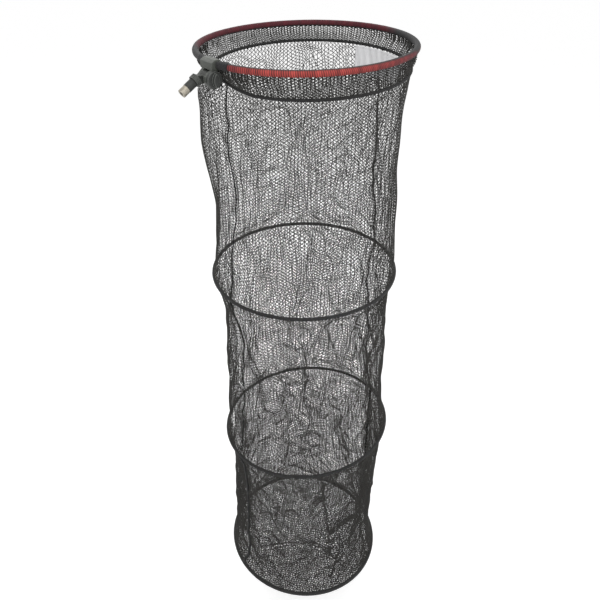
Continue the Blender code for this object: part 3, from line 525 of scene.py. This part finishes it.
def banding(angles, share, length, seed, tightness=5.0, stretch=0.55):
    """How far the knit is drawn sideways and down where it opens and closes in curling bands."""
    def grain(around, down):
        broad = wrinkle(around, down, seed, 2, 12, 16)
        return tightness * (broad + 0.25 * wrinkle(around, down, seed + 1, 6, 24, 40))

    step = 0.002
    gentlest = 150
    here = grain(angles, share)
    aside = (grain(angles + step / wall_radius, share) - here) / step
    below = (grain(angles, share + step / length) - here) / step
    size = stretch * np.sin(here) / np.maximum(aside ** 2 + below ** 2, gentlest ** 2)
    return aside * size, below * size


def swelling(angles, share, place, height, level, width, reach):
    """A broad swelling of the net, or a hollow where the height is below zero."""
    away = away_from(angles, place)
    return height * np.exp(-(away / width) ** 2 - ((share - level) / reach) ** 2)


def slack(angles, share):
    """The slack netting under the rim's far left side, full just below the seam."""
    place, width, height = math.radians(148), math.radians(32), 0.026
    away = away_from(angles, place)
    fade = np.clip((share - 0.24) / 0.38, 0, 1)
    down = np.clip(share / 0.08, 0, 1) * (1 - fade ** 2 * (3 - 2 * fade))
    return height * np.exp(-(away / width) ** 2) * down


def gather(angles, share, place, depth, width, slant, top, foot):
    """One narrow gather that runs down the net from share top to share foot."""
    soft = 0.12
    away = away_from(angles - slant * share, place)
    fade = np.clip((share - top) / soft, 0, 1) * np.clip((foot - share) / soft, 0, 1)
    return -depth * np.exp(-(away / width) ** 2) * fade


def drift(angles):
    """How the knit is drawn together at the front and back and spread out at the sides."""
    return 0.10 * np.sin(2 * (angles - LEFT_EDGE))


def before_drift(degrees):
    """The angle, in degrees, that the drift carries to the one asked for."""
    wanted = math.radians(degrees)
    angle = wanted
    for _ in range(12):
        angle = wanted - float(drift(angle))
    return math.degrees(angle)


def net_wall(top, foot, waist, phase, folds, gathers, swellings, slackness):
    """The place of a net wall between two rings, for its angle and share of the way down.

    The waist is how far it draws in between them. The folds give the depth of the wide and
    the narrow wrinkles, and how far the knit is pulled sideways and down.
    """
    broad_fold = 0.0040
    length = float((top(np.zeros(1)) - foot(np.zeros(1)))[0, 2])
    deep, narrow, sideways, downward = folds

    def place(angles, share):
        inward = 1 - np.abs(2 * share - 1) ** 5
        fold = np.cos(9 * angles + phase) * np.sin(HALF_TURN * np.clip(share, 0, 1))
        shift = broad_fold * fold - waist * inward + slackness * slack(angles, share)
        # The wide wrinkles are flatter at the edges, to keep the net's outline
        calm = 0.45 + 0.55 * np.sin(angles - LEFT_EDGE) ** 2
        shift = shift + deep * calm * wrinkle(angles, share, 40 + phase, 4, 26, 30 + 30 * phase)
        shift = shift + narrow * wrinkle(angles, share, 80 + phase, 36, 80, 12)
        for item in gathers:
            shift = shift + gather(angles, share, *item)
        for item in swellings:
            shift = shift + swelling(angles, share, *item)
        aside, below = banding(angles, share, length, 90 + 2 * phase)
        aside = aside + sideways * wrinkle(angles, share, 50 + phase, 3, 16, 22)
        below = below + downward * wrinkle(angles, share, 60 + phase, 3, 18, 16)
        drawn, sunk = aside / wall_radius + drift(angles), below / length
        straight = top(angles + drawn) * (1 - share - sunk)[:, None] \
            + foot(angles + drawn) * (share + sunk)[:, None]
        return straight + outward(angles) * shift[:, None]

    return place


def grown_thread(radius, start, turn, steps, sides=THREAD_SIDES):
    """One few-sided thread, closed at both ends, grown from its start by a list of steps."""
    shape = bmesh.new()
    bmesh.ops.create_circle(shape, cap_ends=True, segments=sides, radius=radius,
                            matrix=Matrix.Translation(start) @ turn)
    rim_edges = shape.edges[:]
    for step in steps:
        grown = bmesh.ops.extrude_edge_only(shape, edges=rim_edges)["geom"]
        corners = [g for g in grown if isinstance(g, bmesh.types.BMVert)]
        rim_edges = [g for g in grown if isinstance(g, bmesh.types.BMEdge) and g.is_boundary]
        bmesh.ops.translate(shape, vec=step, verts=corners)
    bmesh.ops.holes_fill(shape, edges=rim_edges, sides=sides)
    return shape


def repeat(shape, count, gap, bundle=8):
    """Repeat a shape count times, which is a multiple of the bundle, a gap apart."""
    for times, stride in ((bundle, gap), (count // bundle, gap * bundle)):
        source = shape.verts[:] + shape.edges[:] + shape.faces[:]
        for number in range(1, times):
            copied = bmesh.ops.duplicate(shape, geom=source)["geom"]
            corners = [g for g in copied if isinstance(g, bmesh.types.BMVert)]
            bmesh.ops.translate(shape, vec=stride * number, verts=corners)


def gathered_up(shapes):
    """Several shapes as one."""
    whole = bmesh.new()
    for shape in shapes:
        carrier = bpy.data.meshes.new("threads")
        shape.to_mesh(carrier)
        shape.free()
        whole.from_mesh(carrier)
        bpy.data.meshes.remove(carrier)
    return whole


def round_to(value, bundle=8):
    """The nearest multiple of a bundle, and at least one bundle."""
    return bundle * max(1, round(value / bundle))


def flat_net(width, length, gauge, seams=()):
    """Knitted net laid flat: diamonds of zigzag threads, with upright threads worked through.

    The gauge is a diamond's width and height, the gap between uprights, and the radii of the
    zigzag and the upright threads. The seams give the half widths of the tapes sewn down the
    first and the last side.
    """
    diamond_width, diamond_height, gap, level_radius, upright_radius = gauge
    steps = 2 * round(width / diamond_width)
    pairs = round_to(length / diamond_height)
    wide, high = width / steps, length / pairs / 2
    level = Matrix.Rotation(HALF_TURN / 2, 4, "Y")
    families = []
    for first in (1, -1):
        zigzag = [Vector((wide, first * high * (-1) ** k, 0)) for k in range(steps)]
        thread = grown_thread(level_radius, Vector((0, high * (1 - first), 0)), level, zigzag)
        repeat(thread, pairs, Vector((0, 2 * high, 0)))
        families.append(thread)
    rows = max(2, round(length / thread_step))
    down = [Vector((0, length / rows, 0))] * rows
    upright = Matrix.Rotation(HALF_TURN / 2, 4, "X")
    columns = round_to(width / gap)
    pillars = grown_thread(upright_radius, Vector((width / columns / 2, 0, 0)), upright, down)
    repeat(pillars, columns, Vector((width / columns, 0, 0)))
    families.append(pillars)
    for side, half in enumerate(seams):
        folded = grown_thread(half, Vector((side * width, 0, 0)), upright, down, TAPE_SIDES)
        bmesh.ops.scale(folded, vec=(1, 1, 0.6), verts=folded.verts)
        for face in folded.faces:
            face.material_index = 1
        families.append(folded)
    threads = sum(len(family.verts) for family in families[:3])
    return gathered_up(families), threads


def hung(points, corners, across_to_angle, length, place):
    """Threads of so many corners a ring, with each ring's middle hung by place().

    They are thinner at the two edges of the net, where many lie behind each other.
    """
    rings = points.reshape(-1, corners, 3)
    middles = rings.mean(axis=1)
    share = np.clip(middles[:, 1] / length, 0, 1)
    angles = across_to_angle(middles[:, 0], share)
    leftward = np.cos(angles - LEFT_EDGE)
    size = 1 - 0.15 * np.abs(leftward) ** 3 - 0.17 * np.clip(leftward, 0, 1) ** 3
    aside, down, out = ((rings - middles[:, None]) * size[:, None, None]).transpose(2, 0, 1)
    along = outward(angles + HALF_TURN / 2)
    spots = place(angles, share)[:, None] + along[:, None] * aside[..., None] \
        - UP * down[..., None] + outward(angles)[:, None] * out[..., None]
    return spots.reshape(-1, 3)


def netting(name, place, sides, width, length, gauge, body, replaced, seams=()):
    """Net made flat and then hung by place(), which takes the angle and share of the way down.

    The sides give the angles of its first and last edge, each at the top and at the foot.
    """
    shape, threads = flat_net(width, length, gauge, seams)
    piece = finished_piece(name, shape, finishes["thread"], body, replaced)
    piece.data.materials.append(finishes["binding"])

    def across_to_angle(across, share):
        first, last = (math.radians(top) * (1 - share) + math.radians(foot) * share
                       for top, foot in sides)
        return first + (last - first) * across / width

    flat = mesh_points(piece.data)
    parts = [hung(flat[:threads], THREAD_SIDES, across_to_angle, length, place)]
    if seams:
        parts.append(hung(flat[threads:], TAPE_SIDES, across_to_angle, length, place))
    set_points(piece.data, np.concatenate(parts))
    piece.data.flip_normals()
    lay_cloth(piece.data, flat[:, 0], flat[:, 1])
    return piece


def hang_nets():
    """The three net walls between the seam and the hoops, each of two halves sewn together."""
    tuck = 0.002
    diamond_width, diamond_height, upright_gap = 0.0106, 0.0078, 0.0096
    # The thickness of the uprights beside a wall's other threads, and of the rear half's
    # threads beside the front's
    upright_thickness, rear_thickness = 0.8, 1.15

    def under(ring, radius):
        return lambda angles: ring_at(ring, angles, tuck - radius)

    def over(ring, radius):
        return lambda angles: ring_at(ring, angles, radius - tuck)

    # Each gather's place, depth, width and slant, and the shares of the way down where it
    # starts and ends
    side_gathers = [
        (math.radians(176), 0.004, 0.020, math.radians(-12), 0.0, 1.05),
        (math.radians(164), 0.003, 0.016, math.radians(-6), 0.05, 1.0),
        (math.radians(-30), 0.003, 0.018, math.radians(-5), 0.0, 0.95),
        (math.radians(-154.6), 0.004, 0.012, 0.0, 0.0, 0.4),
    ]
    low_gathers = [
        (math.radians(-95), 0.006, 0.022, math.radians(-30), 0.35, 1.05),
        (math.radians(-82), 0.005, 0.018, math.radians(24), 0.55, 1.05),
        (math.radians(-115), 0.005, 0.020, math.radians(38), 0.5, 1.0),
        (math.radians(-150), 0.005, 0.020, math.radians(-26), 0.0, 0.9),
        (math.radians(-60), 0.004, 0.018, math.radians(20), 0.0, 1.0),
    ]
    # Each swelling's place and height, its level, its width round the net and its reach down.
    # The sides are the angles of the front half's two edges, at the top and at the foot, and
    # the tapes are the half widths of what is sewn over them
    walls = [
        {
            "name": "upper_netting", "node": "upper_net", "body": "rim",
            "joint": "upper_hoop_lift", "top": cord_ring, "foot": upper_ring,
            "radii": (cord_radius, hoop_radius), "waist": 0.009,
            "folds": (0.0025, 0.0006, 0.0050, 0.0045), "gathers": side_gathers,
            "swellings": [(RIGHT_EDGE, -0.006, 0.40, 0.5, 0.25),
                          (0.0, 0.010, 0.08, 0.44, 0.12)],
            "slackness": 1, "coarseness": 1.0, "thread": 0.00082,
            "left_side": (-177.5, -179.2), "right_side": (0.6, -7.0),
            "tapes": (0.0024, 0.0026),
        },
        {
            "name": "middle_netting", "node": "middle_net", "body": "upper_hoop",
            "joint": "lower_hoop_lift", "top": upper_ring, "foot": lower_ring,
            "radii": (hoop_radius, hoop_radius), "waist": 0.019,
            "folds": (0.0024, 0.0004, 0.0050, 0.0055), "gathers": side_gathers[1:3],
            "swellings": [(LEFT_EDGE, -0.008, 0.22, 0.4, 0.16),
                          (LEFT_EDGE, 0.006, 0.8, 0.4, 0.12)],
            "slackness": 0, "coarseness": 1.05, "thread": 0.00096,
            "left_side": (-179.5, -184.5), "right_side": (-7.0, -9.0),
            "tapes": (0.0024, 0.0026),
        },
        {
            "name": "lower_netting", "node": "lower_net", "body": "lower_hoop",
            "joint": "base_hoop_lift", "top": lower_ring, "foot": base_ring,
            "radii": (hoop_radius, base_hoop_radius), "waist": 0.015,
            "folds": (0.0020, 0.0004, 0.0050, 0.0060), "gathers": low_gathers,
            "swellings": [(RIGHT_EDGE, -0.013, 0.60, 0.35, 0.2),
                          (LEFT_EDGE, -0.005, 0.3, 0.5, 0.2)],
            "slackness": 0, "coarseness": 0.92, "thread": 0.00102,
            "left_side": (-183.0, -185.5), "right_side": (-10.0, -24.0),
            "tapes": (0.0075, 0.0062),
        },
    ]
    for number, wall in enumerate(walls):
        top, foot, joint, coarse = (wall[key] for key in ("top", "foot", "joint", "coarseness"))
        top_radius, foot_radius = wall["radii"]
        place = net_wall(under(top, top_radius), over(foot, foot_radius), wall["waist"], number,
                         wall["folds"], wall["gathers"], wall["swellings"], wall["slackness"])
        head = float(top["heights"].mean()) - top_radius
        length = head - float(foot["heights"].mean()) - foot_radius
        left, right = ([before_drift(angle) for angle in wall[side]]
                       for side in ("left_side", "right_side"))
        width = ring_girth / 2
        halves = (("front", (left, right), [wall["node"]], wall["tapes"], 1.0),
                  ("rear", (right, [angle + 360 for angle in left]), (), (), rear_thickness))
        for half, sides, replaced, sewn, thickness in halves:
            thread = thickness * wall["thread"]
            gauge = (diamond_width * coarse, diamond_height * coarse, upright_gap * coarse,
                     thread, upright_thickness * thread)
            piece = netting(wall["name"] + "_" + half, place, sides, width, length, gauge,
                            wall["body"], replaced, sewn)
            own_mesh(piece)


def collar():
    """The doubled net between the rim and the seam cord, gathered upright and uneven."""
    girth = FULL_TURN * float(rim_ring["radii"].mean())
    height = 0.042
    apart = 0.0012
    gauge = (0.0106, 0.0052, 0.0072, 0.00062, 0.00074)
    # The layers lie a little apart, and their meshes a little aside
    for layer, shift in (("outer", apart), ("inner", -apart)):
        def place(angles, share):
            top = ring_at(rim_ring, angles, -cover_radius * 0.8, 0.001)
            foot = ring_at(cord_ring, angles + 8 * shift, cord_radius * 0.5)
            gathers = (0.0014 * np.sin(61 * angles + 3 * share)
                       + 0.0018 * np.sin(23 * angles + 1.3) + 0.0012 * np.sin(97 * angles))
            swell = gathers * np.sin(HALF_TURN * share) + shift
            straight = top * (1 - share)[:, None] + foot * share[:, None]
            return straight + outward(angles) * swell[:, None]

        piece = netting("collar_netting_" + layer, place, ((-180, -180), (180, 180)), girth,
                        height, gauge, "rim", ["collar_net"] if layer == "outer" else ())


def seam():
    """The rope sewn into the seam under the collar."""
    def swell(angles, around):
        twist = 0.06 * np.sin(angles * 150 + around * 2)
        return cord_radius * (1 + twist + 0.05 * ripple(angles, (31, 57, 83), 2))

    ring_tube("seam_rope", cord_ring, cord_radius, finishes["cord"], "rim",
              ["seam_cord"], 900, 12, swell)


def hoop_tapes():
    """The folded tapes that hold the hoops, with the seam where the net is sewn in."""
    tapes = (("upper_hoop", upper_ring, hoop_radius), ("lower_hoop", lower_ring, hoop_radius),
             ("base_hoop", base_ring, base_hoop_radius))
    for number, (body, ring, radius) in enumerate(tapes):
        def swell(angles, around):
            lips = np.exp(-((np.abs(around) - HALF_TURN / 2) / 0.25) ** 2)
            pucker = ripple(angles, (37, 71, 113, 149), number)
            return radius * (0.97 + 0.07 * lips * (1 + 0.5 * pucker) + 0.03 * pucker)

        ring_tube(body + "_sleeve", ring, radius, finishes["tape"], body,
                  [body + "_tape"], 480, 18, swell)


def crumpled(x, y, path, height, width):
    """A crease that draws the threads together along a path, stands up and leans over.

    The path's points are measured from the middle.
    """
    pinch, pinched_width, lean_over = 0.9, 2.4 * width, 0.65 * height
    nearest = np.full(len(x), 1.0)
    pull, lean = np.zeros((2, len(x))), np.zeros((2, len(x)))
    for (x0, y0), (x1, y1) in zip(path, path[1:]):
        run_x, run_y = x1 - x0, y1 - y0
        reach = math.hypot(run_x, run_y)
        share = np.clip(((x - x0) * run_x + (y - y0) * run_y) / reach ** 2, 0, 1)
        aside = np.array((x0 + share * run_x - x, y0 + share * run_y - y))
        nearer = np.hypot(*aside) < nearest
        nearest = np.where(nearer, np.hypot(*aside), nearest)
        pull = np.where(nearer, aside, pull)
        lean = np.where(nearer, np.array([[run_y], [-run_x]]) / reach, lean)
    pull = pull * pinch * np.exp(-(nearest / pinched_width) ** 4)
    fold = np.exp(-(nearest / width) ** 2)
    x, y = (x, y) + pull + lean * lean_over * fold
    return x, y, height * fold


def crossed_threads(reach):
    """Two equal families of straight threads, and how many corners the first one has."""
    steps = 90
    count = round_to(2 * reach / base_mesh_width)
    wide = 2 * reach / count
    upright = Matrix.Rotation(HALF_TURN / 2, 4, "X")
    families = []
    for _ in range(2):
        family = grown_thread(base_thread_radius, Vector((wide / 2 - reach, -1, 0)),
                              upright, [Vector((0, 2 / steps, 0))] * steps)
        repeat(family, count, Vector((wide, 0, 0)))
        families.append(family)
    first_family = len(families[0].verts)
    return gathered_up(families), first_family


def base_netting():
    """The doubled net sewn across the base hoop, creased and sagging under its own weight."""
    sag = 0.008
    short_of_hoop = 0.004
    crease_width = 0.0044
    # The share of the way in over which the creases rise from the hoop
    crease_start = 0.22
    # Each crease's height and path
    creases = (
        (0.018, ((0.180, 0.105), (0.125, 0.030), (0.075, -0.045), (0.020, -0.120))),
        (0.018, ((0.180, -0.070), (0.114, -0.064), (0.052, -0.068))),
        (0.012, ((0.086, -0.085), (0.055, -0.124), (0.000, -0.160), (-0.040, -0.184))),
        (0.006, ((0.010, -0.132), (0.000, -0.052), (-0.060, -0.015), (-0.135, 0.030))),
        (0.012, ((-0.054, 0.205), (-0.066, 0.138))),
    )
    # Each layer's turn in degrees and its lift
    layers = ((20, 0.0), (62, 0.0035))
    hoop_reach = float(base_ring["radii"].mean())
    reach = hoop_reach - short_of_hoop
    for layer, (turn, lift) in enumerate(layers):
        shape, first_family = crossed_threads(reach)
        name = "base_netting" if layer == 0 else "base_netting_lining"
        piece = finished_piece(name, shape, finishes["thread"], "base_hoop",
                               ["base_net"] if layer == 0 else ())
        flat = mesh_points(piece.data)
        # The threads are cut to the hoop's circle, and the second family crosses the first
        lengthwise = np.arange(len(flat)) < first_family
        across = flat[:, 0]
        along = flat[:, 1] * np.sqrt(np.clip(reach ** 2 - across ** 2, 0, None))
        x = np.where(lengthwise, across, along)
        y = np.where(lengthwise, along, -across)
        angle = math.radians(turn)
        x, y = (x * math.cos(angle) - y * math.sin(angle),
                x * math.sin(angle) + y * math.cos(angle))
        folds = 0 * x
        for height, path in creases:
            x, y, fold = crumpled(x, y, path, height, crease_width)
            folds = folds + fold
        angles = np.arctan2(y, x)
        edge = ring_at(base_ring, angles)
        middle = np.array((*base_ring["centre"], float(base_ring["heights"].mean())))
        # Nought at the middle and one at the hoop
        share = np.hypot(x, y)[:, None] / hoop_reach
        inside = 1 - np.clip(share, 0, 1) ** 2
        folds = folds[:, None] * np.clip((1 - share) / crease_start, 0, 1)
        # The two layers wave apart
        x, y = x + layer * 0.05, y - layer * 0.08
        waves = 0.0025 * (np.sin(x * 60 + y * 30) + np.sin(y * 75 - x * 40)
                          + 0.6 * np.sin(x * 140 - y * 120))[:, None]
        place = middle + (edge - middle) * share + UP * flat[:, 2][:, None] \
            + UP * ((lift - sag + waves) * inside + folds)
        set_points(piece.data, place)
        lay_cloth(piece.data, across, along)


# Label

def label():
    """A bare cloth label that hangs inside the net from the seam, with a turned hem."""
    points = node_points("label")
    middle = cord_ring["centre"]
    spots = np.arctan2(points[:, 1] - middle[1], points[:, 0] - middle[0])
    first, last = float(spots.min()), float(spots.max())
    height = 0.058
    inset = 0.0055
    thickness = 0.0004
    hem_thickness, hem_width, hem_edge = 0.0005, 0.005, 0.001
    columns, rows = 96, 40
    shape = bmesh.new()
    bmesh.ops.create_grid(shape, x_segments=columns, y_segments=rows, size=0.5)
    bmesh.ops.solidify(shape, geom=shape.faces[:], thickness=0.01)
    piece = finished_piece("label_panel", shape, finishes["label"], "rim",
                           ["label"])
    flat = mesh_points(piece.data)
    angles = first + (last - first) * (flat[:, 0] + 0.5)
    down = (0.5 - flat[:, 1]) * height
    edge = np.minimum(np.minimum(flat[:, 0] + 0.5, 0.5 - flat[:, 0]) * (last - first) * 0.2,
                      np.minimum(down, height - down))
    hem = hem_thickness * np.clip((hem_width - edge) / hem_edge, 0, 1)
    wave = 0.0016 * np.sin(angles * 34 + 0.8) * (down / height) + 0.0007 * np.sin(
        angles * 71 + down * 60)
    inner_side = flat[:, 2] > flat[:, 2].mean()
    depth = inset + wave + np.where(inner_side, thickness + hem, -hem * 0.4)
    set_points(piece.data, ring_at(cord_ring, angles, -cord_radius, depth)
               - UP * down[:, None])
    piece.data.flip_normals()
    lay_cloth(piece.data, angles * 0.2, down)


# Clamp, arm and knob finishes on the frame's own nodes

def dress_frame():
    """Give the solids that stay in view, or inside, their finishes."""
    worn = {
        "clamp": ["clamp_body", "clamp_cap"],
        "arm": ["arm_head"],
        "sleeve": ["socket_sleeve"],
        "knob": ["knob"],
        "steel": ["clamp_screw_a", "clamp_screw_b", "pivot_bolt", "pivot_washer", "rim_joiner"],
        "alloy": ["rim_rod"],
        "insert": ["thread_insert"],
        "brass": ["knob_nut", "upper_hoop_ferrule", "lower_hoop_ferrule", "base_hoop_ferrule"],
        "rod": ["upper_hoop_rod", "lower_hoop_rod", "base_hoop_rod"],
    }
    for finish, nodes in worn.items():
        for name in nodes:
            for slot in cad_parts[name].material_slots:
                slot.material = finishes[finish]


# Stage, lights and camera

def looked_at(tree):
    """1 where the camera or a reflection looks, and 0 for the light that falls on the net."""
    rays = add(tree, "ShaderNodeLightPath")
    seen = add(tree, "ShaderNodeMath", {"operation": "MAXIMUM"})
    tree.links.new(rays.outputs["Is Camera Ray"], seen.inputs[0])
    tree.links.new(rays.outputs["Is Glossy Ray"], seen.inputs[1])
    return seen.outputs[0]


def white_floor():
    """A pale floor well under the net that reads as white to the camera."""
    low = cad_bounds[0][2]
    floor_drop = 0.25
    shape = bmesh.new()
    bmesh.ops.create_grid(shape, x_segments=1, y_segments=1, size=30)
    mesh = bpy.data.meshes.new("floor")
    shape.to_mesh(mesh)
    shape.free()
    floor = bpy.data.objects.new("floor", mesh)
    floor.location = (0, 0, low - floor_drop)
    bpy.context.scene.collection.objects.link(floor)
    made, tree, shader = new_finish("floor_white", 0.9, specular=0.1)
    shader.inputs["Base Color"].default_value = shade((0.86, 0.86, 0.86))
    tree.links.new(looked_at(tree), shader.inputs["Emission Strength"])
    shader.inputs["Emission Color"].default_value = shade((0.45, 0.45, 0.45))
    mesh.materials.append(made)


def studio_air():
    """Even light from all round, and white behind the net to the camera."""
    world = bpy.data.worlds.new("studio_air")
    world.use_nodes = True
    tree = world.node_tree
    back = tree.nodes["Background"]
    back.inputs["Color"].default_value = shade((1, 1, 1))
    level = add(tree, "ShaderNodeMapRange", Value=looked_at(tree), To_Min=0.62, To_Max=1.0)
    tree.links.new(level.outputs["Result"], back.inputs["Strength"])
    bpy.context.scene.world = world


def lamp(name, place, size, power):
    """A soft square light that faces the net."""
    light = bpy.data.lights.new(name, "AREA")
    light.size = size
    light.energy = power
    item = bpy.data.objects.new(name, light)
    item.location = place
    aim = rim_middle + Vector((0, 0, -0.5)) - Vector(place)
    item.rotation_euler = aim.to_track_quat("-Z", "Y").to_euler()
    bpy.context.scene.collection.objects.link(item)


def lights():
    """Soft studio light: the strongest from the left, above the camera."""
    lamp("key_light", rim_middle + Vector((-1.6, -1.4, 2.0)), 1.6, 42)
    lamp("fill_light", rim_middle + Vector((1.6, -1.8, 0.8)), 1.8, 16)
    lamp("back_light", rim_middle + Vector((0.8, 2.2, 1.6)), 1.6, 18)


def photo_camera():
    """The camera at the photograph's place, from the fit of the rim, seam and hoops."""
    offset = Vector((-0.8961, -1.0700, 0.3084))
    heading = Vector((0.6334, 0.7738, 0))
    pitch = math.radians(33.451)
    camera = bpy.data.cameras.new("photo_camera")
    camera.sensor_width = 36
    camera.lens = 39.93
    camera.clip_end = 100
    item = bpy.data.objects.new("photo_camera", camera)
    item.location = rim_middle + offset
    aim = heading * math.cos(pitch) - Vector((0, 0, math.sin(pitch)))
    item.rotation_euler = aim.to_track_quat("-Z", "Y").to_euler()
    bpy.context.scene.collection.objects.link(item)
    bpy.context.scene.camera = item


photo_camera()
rim_cover()
end_bands()
collar()
seam()
hang_nets()
hoop_tapes()
base_netting()
label()
dress_frame()
white_floor()
studio_air()
lights()
bpy.context.scene.view_settings.view_transform = "Standard"
